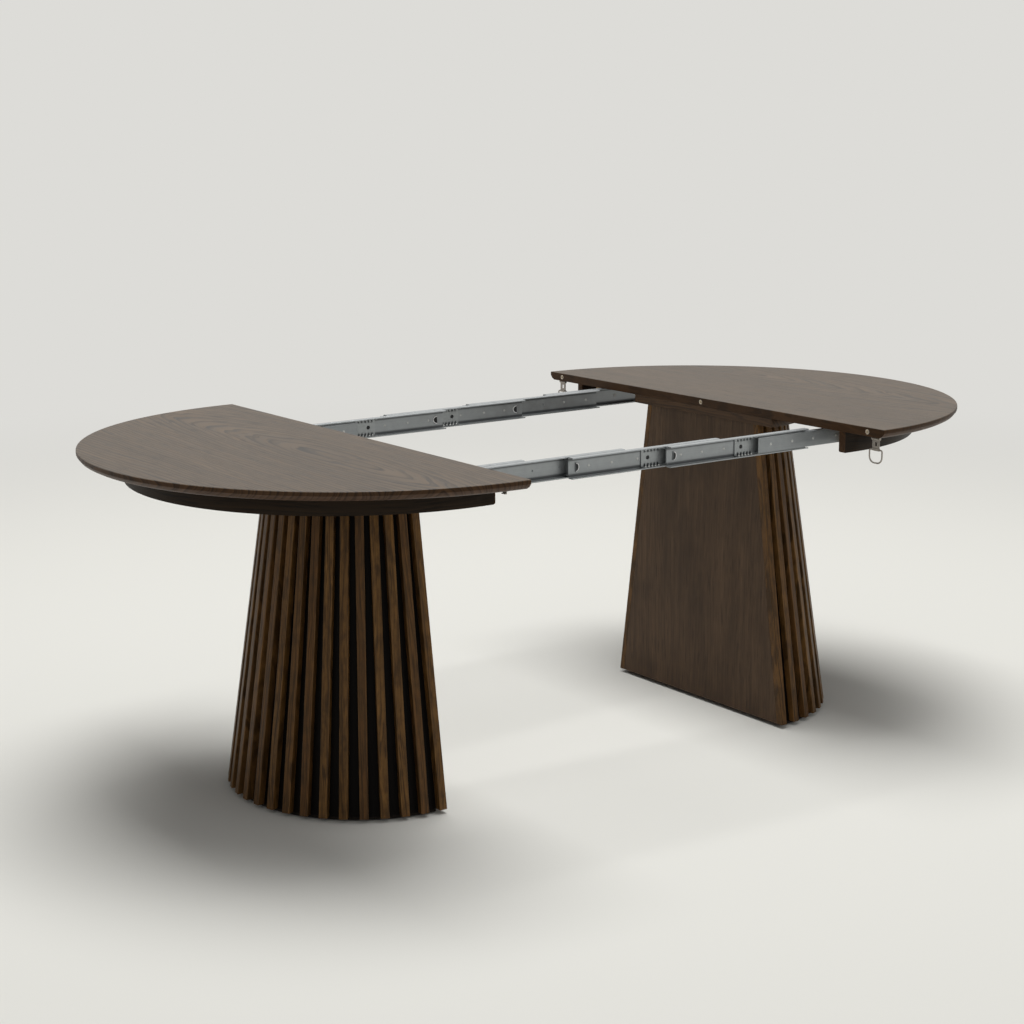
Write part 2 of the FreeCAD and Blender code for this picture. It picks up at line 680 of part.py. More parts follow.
def pierced(shape, member):
    """Cut the two plain holes that the second channel has in place of a stop."""
    for station in WEB_HOLE_STATIONS:
        foot = section_point(member, slide_start(member) + station, -STRIP, 0)
        shape = shape.cut(round_prism(WEB_HOLE_RADIUS, 3 * STRIP, foot, ALONG_Y * -1, WEB_HOLE_SIDES))
    return shape


def rail(member, drills):
    """Inner rail of a member: its web backs the member's channel, its grooves carry the balls."""
    x = slide_start(member)
    half = RAIL_HALF
    groove = BALL_DIAMETER / 2

    def at(u, w):
        return section_point(member - 1, x, u, w)

    edges = []
    for side in (1, -1):
        edges += [
            line(at(SLIDE_PITCH, 0), at(SLIDE_PITCH, side * half)),
            line(at(SLIDE_PITCH, side * half), at(TRACK_U + groove, side * half)),
            arc(at(TRACK_U + groove, side * half), at(TRACK_U, side * (half - TRACK_DEPTH)),
                at(TRACK_U - groove, side * half)),
            line(at(TRACK_U - groove, side * half), at(RAIL_TIP, side * half)),
            line(at(RAIL_TIP, side * half), at(RAIL_TIP, side * (half - STRIP))),
            line(at(RAIL_TIP, side * (half - STRIP)), at(SLIDE_PITCH - STRIP, side * (half - STRIP))),
            line(at(SLIDE_PITCH - STRIP, side * (half - STRIP)), at(SLIDE_PITCH - STRIP, 0)),
        ]
    outline = Part.Wire(Part.__sortEdges__(edges))
    shape = Part.Face(outline).extrude(ALONG_X * SLIDE_LENGTH).removeSplitter()
    for drill in drills:
        shape = shape.cut(drill)
    return shape


def cage(member):
    """Pressed strip between a channel and the rail in it.

    The ball pockets at its leading end are cut round the bends, so they show in the web as well.
    """
    proud = CAGE_PROUD if member >= PLAIN_MEMBERS else -CAGE_CREPT
    x = slide_start(member + 1) - proud
    low = TRACK_Z - CAGE_STRIP / 2
    high = TRACK_Z + CAGE_STRIP / 2

    def at(u, w):
        return section_point(member, x, u, w)

    tip = CAGE_BACK + CAGE_FLANGE
    front = CAGE_BACK + CAGE_STRIP
    strip = polygon_face([
        at(CAGE_BACK, -high), at(CAGE_BACK, high), at(tip, high), at(tip, low),
        at(front, low), at(front, -low), at(tip, -low), at(tip, -high),
    ]).extrude(ALONG_X * (CAGE_TAIL + proud))
    pocket = BALL_DIAMETER + CAGE_POCKET_SPARE
    pocket_root = slide_back(member) - CAGE_BACK + CAGE_STRIP
    pocket_tip = slide_back(member) - tip - CAGE_STRIP
    reach = TRACK_Z - CAGE_POCKET_REACH
    for i in range(CAGE_BALLS):
        middle = x + (i + 1) * CAGE_BALL_PITCH
        for foot in (SLIDE_Z - CHANNEL_HEIGHT / 2, SLIDE_Z + reach):
            strip = strip.cut(box(middle - pocket / 2, middle + pocket / 2, pocket_tip, pocket_root,
                                  foot, foot + CHANNEL_HEIGHT / 2 - reach))
    hole = section_point(member, x + CAGE_HOLE_STATION, CAGE_BACK - CAGE_STRIP, 0)
    return strip.cut(round_prism(CAGE_HOLE_RADIUS, 3 * CAGE_STRIP, hole, ALONG_Y * -1, CAGE_HOLE_SIDES))


def turned(shape):
    """Turn a near-slide piece end for end and carry it to the far side."""
    shift = SLIDE_INNER_Y + SLIDE_OUTER_Y
    return shape.mirror(point(0, 0, 0), ALONG_X).translated(point(0, shift, 0))


def turned_back(shape):
    """The opposite of turned, for drills that are laid out on the far side."""
    shift = SLIDE_INNER_Y + SLIDE_OUTER_Y
    return shape.translated(point(0, -shift, 0)).mirror(point(0, 0, 0), ALONG_X)


def save_slide(name, place, channel_drills, rail_drills):
    """Write a slide's members, numbered from the one that is fixed by its channel."""
    last = SLIDE_MEMBERS - 1
    for member in range(SLIDE_MEMBERS):
        if member < last:
            shape = channel(member, channel_drills if member == 0 else [])
            save("%s_channel_%d" % (name, member + 1), place(shape))
            save("%s_cage_%d" % (name, member + 1), place(cage(member)))
        if member > 0:
            shape = rail(member, rail_drills if member == last else [])
            save("%s_rail_%d" % (name, member + 1), place(shape))


def save_half(side, place, near, far, top):
    """Write the pieces that both halves have."""
    save(side + "_top", place(drilled_for_plate_screws(top)))
    save(side + "_apron", place(apron()))
    save(side + "_head_plate", place(drilled_for_plate_screws(head_plate())))
    save(side + "_panel", place(panel()))
    save(side + "_backing", place(backing()))
    save(side + "_slats", *[place(slat) for slat in slats()])
    save(side + "_formers", *[place(former) for former in formers()])
    save(side + "_plinth", place(plinth()))
    save(side + "_glides", *[place(pad) for pad in glides()])
    save(side + "_near_bearer", place(near[0]))
    save(side + "_far_bearer", place(far[0]))
    save(side + "_slide_screws", *[place(fastener) for fastener in near[1] + far[1]])
    save(side + "_plate_screws", *[place(fastener) for fastener in plate_screws()])


os.makedirs("parts", exist_ok=True)

left_near, left_far = half_bearers(False)
right_near, right_far = half_bearers(True)

pin_seats = fluted(PIN_TAIL_DIAMETER / 2 + PIN_GLUE, PIN_TAIL_LENGTH + PIN_GLUE)
left_top = half_top().cut(Part.makeCompound(pin_seats))
bush_seats = fluted(SOCKET_RADIUS + SOCKET_BUSH_WALL + PIN_GLUE, SOCKET_DEPTH + PIN_GLUE)
right_top = half_top().cut(Part.makeCompound(bush_seats))

save_half("left", on_left, left_near, left_far, left_top)
save("alignment_pins", *[on_left(pin) for pin in alignment_pins()])
save("left_latch_hooks", *[on_left(hook) for hook in latch_hooks()])

save_half("right", on_right, right_near, right_far, right_top)
save("socket_bushes", *[on_right(sleeve) for sleeve in socket_bushes()])
save("latch_plates", *[on_right(plate) for plate in latch_plates()])
for row, y in zip(("near", "far"), latch_rows()):
    save(row + "_latch_strap", on_right(latch_strap(y)))
    save(row + "_latch_loop", on_right(latch_loop(y)))

save_slide("near", lambda shape: shape,
           [on_left(drill) for drill in left_near[2]],
           [on_right(drill) for drill in right_near[2]])
save_slide("far", turned,
           [turned_back(on_right(drill)) for drill in right_far[2]],
           [turned_back(on_left(drill)) for drill in left_far[2]])
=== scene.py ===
import math

import bmesh
import bpy
from mathutils import Matrix, Vector


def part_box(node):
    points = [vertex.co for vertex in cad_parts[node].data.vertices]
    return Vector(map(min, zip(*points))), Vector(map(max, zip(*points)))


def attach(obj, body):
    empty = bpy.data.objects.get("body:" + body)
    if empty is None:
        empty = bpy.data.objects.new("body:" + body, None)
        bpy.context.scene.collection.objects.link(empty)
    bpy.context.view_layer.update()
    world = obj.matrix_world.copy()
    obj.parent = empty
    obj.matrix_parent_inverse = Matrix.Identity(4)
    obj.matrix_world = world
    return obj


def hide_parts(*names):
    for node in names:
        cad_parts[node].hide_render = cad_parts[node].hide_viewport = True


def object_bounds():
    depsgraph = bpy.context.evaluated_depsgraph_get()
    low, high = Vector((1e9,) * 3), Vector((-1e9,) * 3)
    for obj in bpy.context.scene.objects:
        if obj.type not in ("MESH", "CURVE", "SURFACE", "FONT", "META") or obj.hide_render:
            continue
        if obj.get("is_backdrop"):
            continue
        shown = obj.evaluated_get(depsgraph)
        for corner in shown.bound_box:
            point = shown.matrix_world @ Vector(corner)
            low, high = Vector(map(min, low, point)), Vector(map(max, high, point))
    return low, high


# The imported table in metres, +Z up, standing open on the floor midway between its two halves.
# X runs along the extension, and both slides turn their open sides towards -Y.
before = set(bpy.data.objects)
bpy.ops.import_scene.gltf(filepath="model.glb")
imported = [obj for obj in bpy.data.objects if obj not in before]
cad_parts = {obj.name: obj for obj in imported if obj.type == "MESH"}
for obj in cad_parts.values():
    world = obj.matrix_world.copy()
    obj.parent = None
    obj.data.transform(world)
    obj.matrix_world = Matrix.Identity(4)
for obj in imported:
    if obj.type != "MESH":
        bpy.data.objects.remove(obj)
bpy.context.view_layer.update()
SIDES = ("left", "right")
ROWS = ("near", "far")


# Floor pads: four moulded nylon discs pinned under each plinth. They carry the half and let it
# slide over the floor when the table is pulled open.
NYLON = (70, 68, 65)
NYLON_SCUFFED = (50, 49, 46)
NYLON_MOTTLE = 90.0
NYLON_RELIEF = 0.2
FINE_DEPTH = 0.0004


def colour(seen):
    """A colour given as it is seen, 0 to 255 for each part, as the linear colour a shader takes."""
    shares = [part / 255 for part in seen]
    linear = [s / 12.92 if s <= 0.04045 else ((s + 0.055) / 1.055) ** 2.4 for s in shares]
    return (*linear, 1.0)


def feed(tree, socket, value):
    """Link a socket to another node's output, or set it to a plain value."""
    if isinstance(value, bpy.types.NodeSocket):
        tree.links.new(value, socket)
    else:
        socket.default_value = value


def add(tree, kind, feeds=None, **options):
    """Add a shader node with its options, and feed the inputs that are named."""
    made = tree.nodes.new(kind)
    for option, value in options.items():
        setattr(made, option, value)
    for name, value in (feeds or {}).items():
        feed(tree, made.inputs[name], value)
    return made


def reckon(tree, operation, *values):
    """Work out a value from others."""
    made = add(tree, "ShaderNodeMath", operation=operation)
    for socket, value in zip(made.inputs, values):
        feed(tree, socket, value)
    return made.outputs[0]


def mixed(tree, share, first, second):
    """Mix a share of the second colour into the first."""
    made = add(tree, "ShaderNodeMix", data_type="RGBA")
    for place, value in ((0, share), (6, first), (7, second)):
        feed(tree, made.inputs[place], value)
    return made.outputs[2]


def cloud(tree, place, scale, detail=2.0, roughness=0.5):
    """Smooth noise round 0.5 over a place."""
    feeds = {"Vector": place, "Scale": scale, "Detail": detail, "Roughness": roughness}
    return add(tree, "ShaderNodeTexNoise", feeds).outputs["Fac"]


def rest_place(tree):
    """Where a point of the object lies at rest, in the table's own frame."""
    return add(tree, "ShaderNodeTexCoord").outputs["Object"]


def new_finish(name, **plain):
    """A material with one shader; values that are the same all over are set on its own sockets."""
    finish = bpy.data.materials.new(name)
    finish.use_nodes = True
    shader = finish.node_tree.nodes["Principled BSDF"]
    for socket, value in plain.items():
        shader.inputs[socket.replace("_", " ")].default_value = value
    return finish, finish.node_tree, shader


def relief(tree, shader, height, strength, depth):
    """Raise or sink the surface by a height, as light sees it."""
    feeds = {"Strength": strength, "Distance": depth, "Height": height}
    bump = add(tree, "ShaderNodeBump", feeds)
    feed(tree, shader.inputs["Normal"], bump.outputs["Normal"])


def paint(finish, *nodes):
    """Give CAD pieces a finish."""
    for name in nodes:
        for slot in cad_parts[name].material_slots:
            slot.material = finish


def each_half(piece):
    """The names of a piece's two CAD nodes."""
    return [side + "_" + piece for side in SIDES]


nylon, tree, shader = new_finish("nylon pad", Roughness=0.55)
mottle = cloud(tree, rest_place(tree), NYLON_MOTTLE, detail=3.0)
feed(tree, shader.inputs["Base Color"], mixed(tree, mottle, colour(NYLON_SCUFFED), colour(NYLON)))
relief(tree, shader, mottle, NYLON_RELIEF, FINE_DEPTH)
paint(nylon, *each_half("glides"))


# Plinths: thin boards stained almost black, set in under each pedestal so that it seems to float
# just clear of the floor. Screwed up into the lowest former.
PLINTH_DARK = (16, 13, 11)
PLINTH_PALE = (36, 29, 23)
BOARD_ARRIS = 0.0008
ARRIS_STEPS = 2
ARRIS_ANGLE = math.radians(25)
WELD_REACH = 0.00001
FLAT_ANGLE = math.radians(0.5)
RING_RATE = 95.0
RING_STRETCH = 0.13
RING_WANDER, RING_WANDER_RATE = 0.07, 8.0
RING_TONES = ((0.0, 0.75), (0.6, 0.6), (0.92, 0.0), (1.0, 0.6))
BROAD_RATE = 11.0
FIBRE_GRAIN = (330.0, 5.0)
STREAK_GRAIN = (70.0, 1.7)
PORE_GRAIN = (430.0, 15.0)
PORE_START, PORE_FULL, PORE_SHARE = 0.56, 0.66, 0.7
FIBRE_WEIGHT, STREAK_WEIGHT, BROAD_WEIGHT = 1.3, 0.7, 0.35
WOOD_ROUGHNESS, WOOD_ROUGHNESS_SPREAD = 0.44, 0.25


def new_group(name, inputs, outputs):
    """A node group with named inputs and outputs, for an effect that several finishes share."""
    group = bpy.data.node_groups.new(name, "ShaderNodeTree")
    for label, kind in inputs.items():
        group.interface.new_socket(label, in_out="INPUT", socket_type="NodeSocket" + kind)
    for label, kind in outputs.items():
        group.interface.new_socket(label, in_out="OUTPUT", socket_type="NodeSocket" + kind)
    return group, add(group, "NodeGroupInput").outputs, add(group, "NodeGroupOutput").inputs


def walnut_grain():
    """Sawn walnut round the heart of its log: oval growth rings with fibres and pores along them."""
    group, given, out = new_group(
        "walnut grain",
        {"Across": "Float", "Along": "Float", "Depth": "Float", "Pale": "Color", "Dark": "Color",
         "Rings": "Float"},
        {"Colour": "Color", "Roughness": "Float", "Height": "Float"},
    )

    def spot(across, along, depth):
        return add(group, "ShaderNodeCombineXYZ", {"X": across, "Y": along, "Z": depth}).outputs[0]

    def lengthened(grain):
        across, along = grain
        return spot(reckon(group, "MULTIPLY", growth, across),
                    reckon(group, "MULTIPLY", given["Along"], along), given["Depth"])

    def around_middle(value, strength):
        return reckon(group, "MULTIPLY", reckon(group, "SUBTRACT", value, 0.5), strength)

    log = spot(given["Across"], reckon(group, "MULTIPLY", given["Along"], RING_STRETCH),
               given["Depth"])
    distance = add(group, "ShaderNodeVectorMath", {0: log}, operation="LENGTH").outputs["Value"]
    wander = around_middle(cloud(group, log, RING_WANDER_RATE, detail=3.0), RING_WANDER)
    growth = reckon(group, "ADD", distance, wander)
    turn = reckon(group, "FRACT", reckon(group, "MULTIPLY", growth, RING_RATE))
    ring = add(group, "ShaderNodeValToRGB", {"Fac": turn})
    stops = ring.color_ramp.elements
    for position, value in RING_TONES[1:-1]:
        stops.new(position)
    for stop, (position, value) in zip(stops, RING_TONES):
        stop.color = (value, value, value, 1.0)
    fibres = cloud(group, lengthened(FIBRE_GRAIN), 1.0, detail=6.0, roughness=0.65)
    streaks = cloud(group, lengthened(STREAK_GRAIN), 1.0)
    broad = cloud(group, log, BROAD_RATE)
    short = cloud(group, lengthened(PORE_GRAIN), 1.0, detail=1.0)
    pores = add(group, "ShaderNodeMapRange",
                {"Value": short, "From Min": PORE_START, "From Max": PORE_FULL}).outputs[0]
    tone = reckon(group, "ADD", around_middle(fibres, FIBRE_WEIGHT),
                  around_middle(streaks, STREAK_WEIGHT))
    tone = reckon(group, "ADD", tone, around_middle(broad, BROAD_WEIGHT))
    tone = reckon(group, "ADD", tone, around_middle(ring.outputs[0], given["Rings"]))
    tone = reckon(group, "ADD", tone, 0.5)
    tone.node.use_clamp = True
    wood = mixed(group, tone, given["Dark"], given["Pale"])
    filled = reckon(group, "MULTIPLY", pores, PORE_SHARE)
    feed(group, out["Colour"], mixed(group, filled, wood, given["Dark"]))
    feed(group, out["Roughness"],
         reckon(group, "ADD", around_middle(fibres, WOOD_ROUGHNESS_SPREAD), WOOD_ROUGHNESS))
    feed(group, out["Height"], reckon(group, "SUBTRACT", fibres, pores))
    return group


WALNUT = walnut_grain()


def walnut(tree, shader, across, along, depth, pale, dark, rings=0.6, bump=0.15):
    """Give a shader walnut grain, with places counted from the heart of the log."""
    feeds = {"Across": across, "Along": along, "Depth": depth, "Rings": rings,
             "Pale": pale if isinstance(pale, bpy.types.NodeSocket) else colour(pale),
             "Dark": dark if isinstance(dark, bpy.types.NodeSocket) else colour(dark)}
    grain = add(tree, "ShaderNodeGroup", feeds, node_tree=WALNUT)
    feed(tree, shader.inputs["Base Color"], grain.outputs["Colour"])
    feed(tree, shader.inputs["Roughness"], grain.outputs["Roughness"])
    relief(tree, shader, grain.outputs["Height"], bump, FINE_DEPTH)


def axes(tree):
    """The place along X, Y and Z as three values."""
    parts = add(tree, "ShaderNodeSeparateXYZ", {0: rest_place(tree)}).outputs
    return parts[0], parts[1], parts[2]


def ease(width, *nodes):
    """Take the sharpness off wooden pieces: join their faces, then round every arris."""
    for name in nodes:
        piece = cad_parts[name]
        piece.modifiers.new("joined faces", "WELD").merge_threshold = WELD_REACH
        flats = piece.modifiers.new("whole flats", "DECIMATE")
        flats.decimate_type = "DISSOLVE"
        flats.angle_limit = FLAT_ANGLE
        arris = piece.modifiers.new("soft arris", "BEVEL")
        arris.width = width
        arris.segments = ARRIS_STEPS
        arris.angle_limit = ARRIS_ANGLE
        arris.harden_normals = True


dark_board, tree, shader = new_finish("dark plinth", Specular_IOR_Level=0.1)
x, y, z = axes(tree)
walnut(tree, shader, x, y, z, PLINTH_PALE, PLINTH_DARK)
paint(dark_board, *each_half("plinth"))
ease(BOARD_ARRIS, *each_half("plinth"))


# Formers: plain unfinished boards at the foot, middle and head of each pedestal. The backing is
# bent round them and the panel is screwed to their straight edges.
INNER_PALE = (176, 146, 104)
INNER_DARK = (132, 102, 66)

inner_wood, tree, shader = new_finish("inner wood")
x, y, z = axes(tree)
walnut(tree, shader, y, x, z, INNER_PALE, INNER_DARK, rings=0.4)
paint(inner_wood, *each_half("formers"))
ease(BOARD_ARRIS, *each_half("formers"))


# Backings: kerfed board bent to a half cone and sprayed matt black. They close the pedestal and
# show only as the dark of the gaps between the slats.
BACKING_BLACK = (9, 7, 6)
BACKING_WORN = (18, 14, 11)

black_paint, tree, shader = new_finish("black backing", Specular_IOR_Level=0.05)
x, y, z = axes(tree)
walnut(tree, shader, y, z, x, BACKING_WORN, BACKING_BLACK, rings=0.2)
paint(black_paint, *each_half("backing"))


# Flat panels: veneered board in the plane of the split, with upright grain. Each closes the flat
# side of its half cone, glued to the edges of the backing and to the formers.
PANEL_PALE = (102, 80, 60)
PANEL_DARK = (57, 44, 33)
PANEL_STAIN = (70, 54, 40)
PANEL_HEART = 0.6
PANEL_BLOTCH = 9.0
BLOTCH_START, BLOTCH_FULL = 0.42, 0.68
BLOTCH_STRETCH = (1.0, 1.0, 0.4)
PANEL_DEPTH = 0.05


def blotches(tree, rate):
    """Cloudy patches drawn out along Z, where the wood has drunk more of the stain."""
    drawn = add(tree, "ShaderNodeMapping", {"Vector": rest_place(tree), "Scale": BLOTCH_STRETCH})
    patches = cloud(tree, drawn.outputs[0], rate, detail=4.0, roughness=0.6)
    feeds = {"Value": patches, "From Min": BLOTCH_START, "From Max": BLOTCH_FULL}
    return add(tree, "ShaderNodeMapRange", feeds).outputs[0]


panel_veneer, tree, shader = new_finish("walnut panel", Specular_IOR_Level=0.12)
x, y, z = axes(tree)
pale = mixed(tree, blotches(tree, PANEL_BLOTCH), colour(PANEL_PALE), colour(PANEL_STAIN))
side = reckon(tree, "SIGN", x)
off_heart = reckon(tree, "ADD", y, reckon(tree, "MULTIPLY", side, PANEL_HEART))
depth = reckon(tree, "MULTIPLY", side, PANEL_DEPTH)
walnut(tree, shader, off_heart, z, depth, pale, PANEL_DARK, rings=0.15)
paint(panel_veneer, *each_half("panel"))
ease(BOARD_ARRIS, *each_half("panel"))


# Slats: straight walnut bars fanned round each half cone, glued to the backing, with the first
# and the last flush with the panel. Every bar comes from its own plank, so the browns differ.
SLAT_COUNT = 23
SLAT_PALE = (136, 98, 52)
SLAT_DARK = (50, 35, 18)
SLAT_RED = (106, 72, 38)
SLAT_STAIN = (88, 63, 35)
# Painted highlight: the paler colour below goes on each slat's bevelled arrises, where a face turns partly
# outward.
SLAT_HIGHLIGHT = (146, 112, 72)
SLAT_BLOTCH = 70.0
SLAT_ARRIS = 0.0006
# Which faces get the painted highlight: those turned this far outward, fading over this span.
HIGHLIGHT_FACING = 0.72
HIGHLIGHT_START, HIGHLIGHT_FULL, HIGHLIGHT_SHARE = 0.2, 0.05, 0.7
FAN_CENTRE = 0.4805
FAN_REACH = 0.25


def fan_place():
    """Places round a half: the turn about its upright axis, the reach from it, the side it is on."""
    group, given, out = new_group("fan place", {"Centre": "Float"},
                                  {"Turn": "Float", "Reach": "Float", "Side": "Float"})
    x, y, z = axes(group)
    out_x = reckon(group, "SUBTRACT", reckon(group, "ABSOLUTE", x), given["Centre"])
    feed(group, out["Turn"], reckon(group, "ARCTAN2", y, out_x))
    square = reckon(group, "ADD", reckon(group, "POWER", out_x, 2.0), reckon(group, "POWER", y, 2.0))
    feed(group, out["Reach"], reckon(group, "SQRT", square))
    feed(group, out["Side"], reckon(group, "SIGN", x))
    return group


FAN = fan_place()


def fan(tree, centre):
    """Places round a half whose upright axis lies at a distance from the middle."""
    return add(tree, "ShaderNodeGroup", {"Centre": centre}, node_tree=FAN).outputs


slat_walnut, tree, shader = new_finish("walnut slats", Specular_IOR_Level=0.15)
x, y, z = axes(tree)
around = fan(tree, FAN_CENTRE)
number = reckon(tree, "ROUND", reckon(tree, "MULTIPLY", around["Turn"], (SLAT_COUNT - 1) / math.pi))
plank = reckon(tree, "ADD", number, reckon(tree, "MULTIPLY", around["Side"], 2.0 * SLAT_COUNT))
draw = add(tree, "ShaderNodeTexWhiteNoise", {"W": plank}, noise_dimensions="1D").outputs
pale = mixed(tree, draw["Value"], colour(SLAT_PALE), colour(SLAT_RED))
pale = mixed(tree, blotches(tree, SLAT_BLOTCH), pale, colour(SLAT_STAIN))
# Painted highlight: faces turned partly outward, the bevelled arrises, are mixed towards the paler
# highlight colour.
normal = add(tree, "ShaderNodeTexCoord").outputs["Normal"]
facing = add(tree, "ShaderNodeSeparateXYZ", {0: normal}).outputs
out_x = reckon(tree, "MULTIPLY", reckon(tree, "MULTIPLY", facing[0], around["Side"]),
               reckon(tree, "COSINE", around["Turn"]))
out_y = reckon(tree, "MULTIPLY", facing[1], reckon(tree, "SINE", around["Turn"]))
outward = reckon(tree, "ADD", out_x, out_y)
off_arris = reckon(tree, "ABSOLUTE", reckon(tree, "SUBTRACT", outward, HIGHLIGHT_FACING))
arris_highlight = add(tree, "ShaderNodeMapRange", {"Value": off_arris, "From Min": HIGHLIGHT_START,
                                        "From Max": HIGHLIGHT_FULL, "To Max": HIGHLIGHT_SHARE}).outputs[0]
pale = mixed(tree, arris_highlight, pale, colour(SLAT_HIGHLIGHT))
across = reckon(tree, "ADD", reckon(tree, "MULTIPLY", around["Turn"], FAN_REACH), plank)
walnut(tree, shader, across, z, around["Reach"], pale, SLAT_DARK, rings=0.5)
paint(slat_walnut, *each_half("slats"))
ease(SLAT_ARRIS, *each_half("slats"))


# Head plates: half-round boards that cap the pedestals and spread their load under the tops.
# Stained like the slats.
PLATE_PALE = (84, 62, 42)
PLATE_DARK = (48, 35, 24)

plate_walnut, tree, shader = new_finish("walnut head plate", Specular_IOR_Level=0.15)
x, y, z = axes(tree)
walnut(tree, shader, x, y, z, PLATE_PALE, PLATE_DARK)
paint(plate_walnut, *each_half("head_plate"))
ease(BOARD_ARRIS, *each_half("head_plate"))


# Top boards: two half rounds of veneered board with a darker square edge above a soft bevel, and a
# satin lacquer on the faces. The grain runs along the split, with an oval figure in the left half.
TOP_PALE = (95, 78, 60)
TOP_DARK = (32, 25, 18)
BAND_PALE = (74, 52, 33)
BAND_DARK = (44, 31, 19)
BEVEL_PALE = (92, 72, 58)
BEVEL_DARK = (60, 47, 38)
LACQUER = 0.38
LACQUER_ROUGHNESS = 0.42
FACE_LEVEL = 0.7488
BAND_LEVEL = 0.7413
TOP_HEARTS = {"left": (-0.64, -0.19), "right": (0.86, 0.35)}
TOP_HEART_LEVEL = 0.71
TOP_ARRIS = 0.0010

for side, (heart_x, heart_y) in TOP_HEARTS.items():
    top_walnut, tree, shader = new_finish(side + " walnut top", Specular_IOR_Level=0.1,
                                          Coat_Roughness=LACQUER_ROUGHNESS)
    x, y, z = axes(tree)
    low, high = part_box(side + "_top")
    split = min(abs(low.x), abs(high.x)) + TOP_ARRIS / 2
    sawn = reckon(tree, "LESS_THAN", reckon(tree, "ABSOLUTE", x), split)
    band = reckon(tree, "MAXIMUM", sawn, reckon(tree, "GREATER_THAN", z, BAND_LEVEL))
    face = reckon(tree, "GREATER_THAN", z, FACE_LEVEL)
    pale = mixed(tree, face, mixed(tree, band, colour(BEVEL_PALE), colour(BAND_PALE)), colour(TOP_PALE))
    dark = mixed(tree, face, mixed(tree, band, colour(BEVEL_DARK), colour(BAND_DARK)), colour(TOP_DARK))
    walnut(tree, shader, reckon(tree, "SUBTRACT", x, heart_x), reckon(tree, "SUBTRACT", y, heart_y),
           reckon(tree, "SUBTRACT", z, TOP_HEART_LEVEL), pale, dark, rings=0.9, bump=0.4)
    feed(tree, shader.inputs["Coat Weight"], reckon(tree, "MULTIPLY", face, LACQUER))
    paint(top_walnut, side + "_top")
ease(TOP_ARRIS, *each_half("top"))


# Plate screws: hexagon-headed steel screws, plated against rust. They run up through the head
# plates into the tops, and hold each half of the table together.
STEEL_BRIGHT = (176, 176, 174)
STEEL_DULL = (120, 120, 118)
SPANGLE_RATE = 55.0
SPANGLE_SHARE, LINES_SHARE = 0.65, 0.35
ROLL_LINES = (7.0, 600.0, 600.0)
STRIP_ROUGHNESS, STRIP_ROUGHNESS_SPREAD = 0.26, 0.3
STRIP_RELIEF, STRIP_RELIEF_DEPTH = 0.08, 0.0003


def rolled_strip():
    """Plated steel: a cloudy coat over fine lines drawn along X by the rolls."""
    group, given, out = new_group("rolled strip", {"Pale": "Color", "Dark": "Color"},
                                  {"Colour": "Color", "Roughness": "Float", "Height": "Float"})
    place = rest_place(group)
    spangle = cloud(group, place, SPANGLE_RATE, detail=4.0, roughness=0.6)
    drawn = add(group, "ShaderNodeMapping", {"Vector": place, "Scale": ROLL_LINES})
    lines = cloud(group, drawn.outputs[0], 1.0, detail=3.0)
    tone = reckon(group, "ADD", reckon(group, "MULTIPLY", spangle, SPANGLE_SHARE),
                  reckon(group, "MULTIPLY", lines, LINES_SHARE))
    feed(group, out["Colour"], mixed(group, tone, given["Dark"], given["Pale"]))
    spread = reckon(group, "MULTIPLY", spangle, STRIP_ROUGHNESS_SPREAD)
    feed(group, out["Roughness"], reckon(group, "ADD", spread, STRIP_ROUGHNESS))
    feed(group, out["Height"], tone)
    return group


STRIP = rolled_strip()


def plated(name, pale, dark, **plain):
    """A plated steel finish."""
    finish, tree, shader = new_finish(name, **plain)
    feeds = {"Pale": colour(pale), "Dark": colour(dark)}
    strip = add(tree, "ShaderNodeGroup", feeds, node_tree=STRIP)
    feed(tree, shader.inputs["Base Color"], strip.outputs["Colour"])
    feed(tree, shader.inputs["Roughness"], strip.outputs["Roughness"])
    relief(tree, shader, strip.outputs["Height"], STRIP_RELIEF, STRIP_RELIEF_DEPTH)
    return finish


steel = plated("screw steel", STEEL_BRIGHT, STEEL_DULL, Metallic=1.0)
paint(steel, *each_half("plate_screws"))


# Aprons: boards bent to a half round with short straight ends, stained near black and rounded at
# their lower corners. Glued and screwed up under the tops, they stiffen the rim.
APRON_PALE = (46, 34, 22)
APRON_DARK = (20, 15, 10)
# Painted light: the end faces of the straight ends are coloured paler, as if lit from the left and front.
APRON_END_LIT_PALE = (84, 60, 40)
APRON_END_LIT_DARK = (42, 30, 20)
APRON_END_DEPTH = 0.003
APRON_CENTRE = 0.496
APRON_REACH = 0.482

dark_apron, tree, shader = new_finish("dark apron", Specular_IOR_Level=0.08)
x, y, z = axes(tree)
around = fan(tree, APRON_CENTRE)
# Paler colour on the end faces of the straight ends: painted light.
lit_end_face = reckon(tree, "LESS_THAN", reckon(tree, "ABSOLUTE", x),
                  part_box("right_apron")[0].x + APRON_END_DEPTH)
pale = mixed(tree, lit_end_face, colour(APRON_PALE), colour(APRON_END_LIT_PALE))
dark = mixed(tree, lit_end_face, colour(APRON_DARK), colour(APRON_END_LIT_DARK))
walnut(tree, shader, z, reckon(tree, "MULTIPLY", around["Turn"], APRON_REACH), around["Reach"],
       pale, dark, rings=0.3)
paint(dark_apron, *each_half("apron"))
ease(BOARD_ARRIS, *each_half("apron"))


# Bearers: straight rails of the same plain wood as the formers, glued under the tops to carry the
# ends of the slides.
paint(inner_wood, *each_half("near_bearer"), *each_half("far_bearer"))
ease(BOARD_ARRIS, *each_half("near_bearer"), *each_half("far_bearer"))


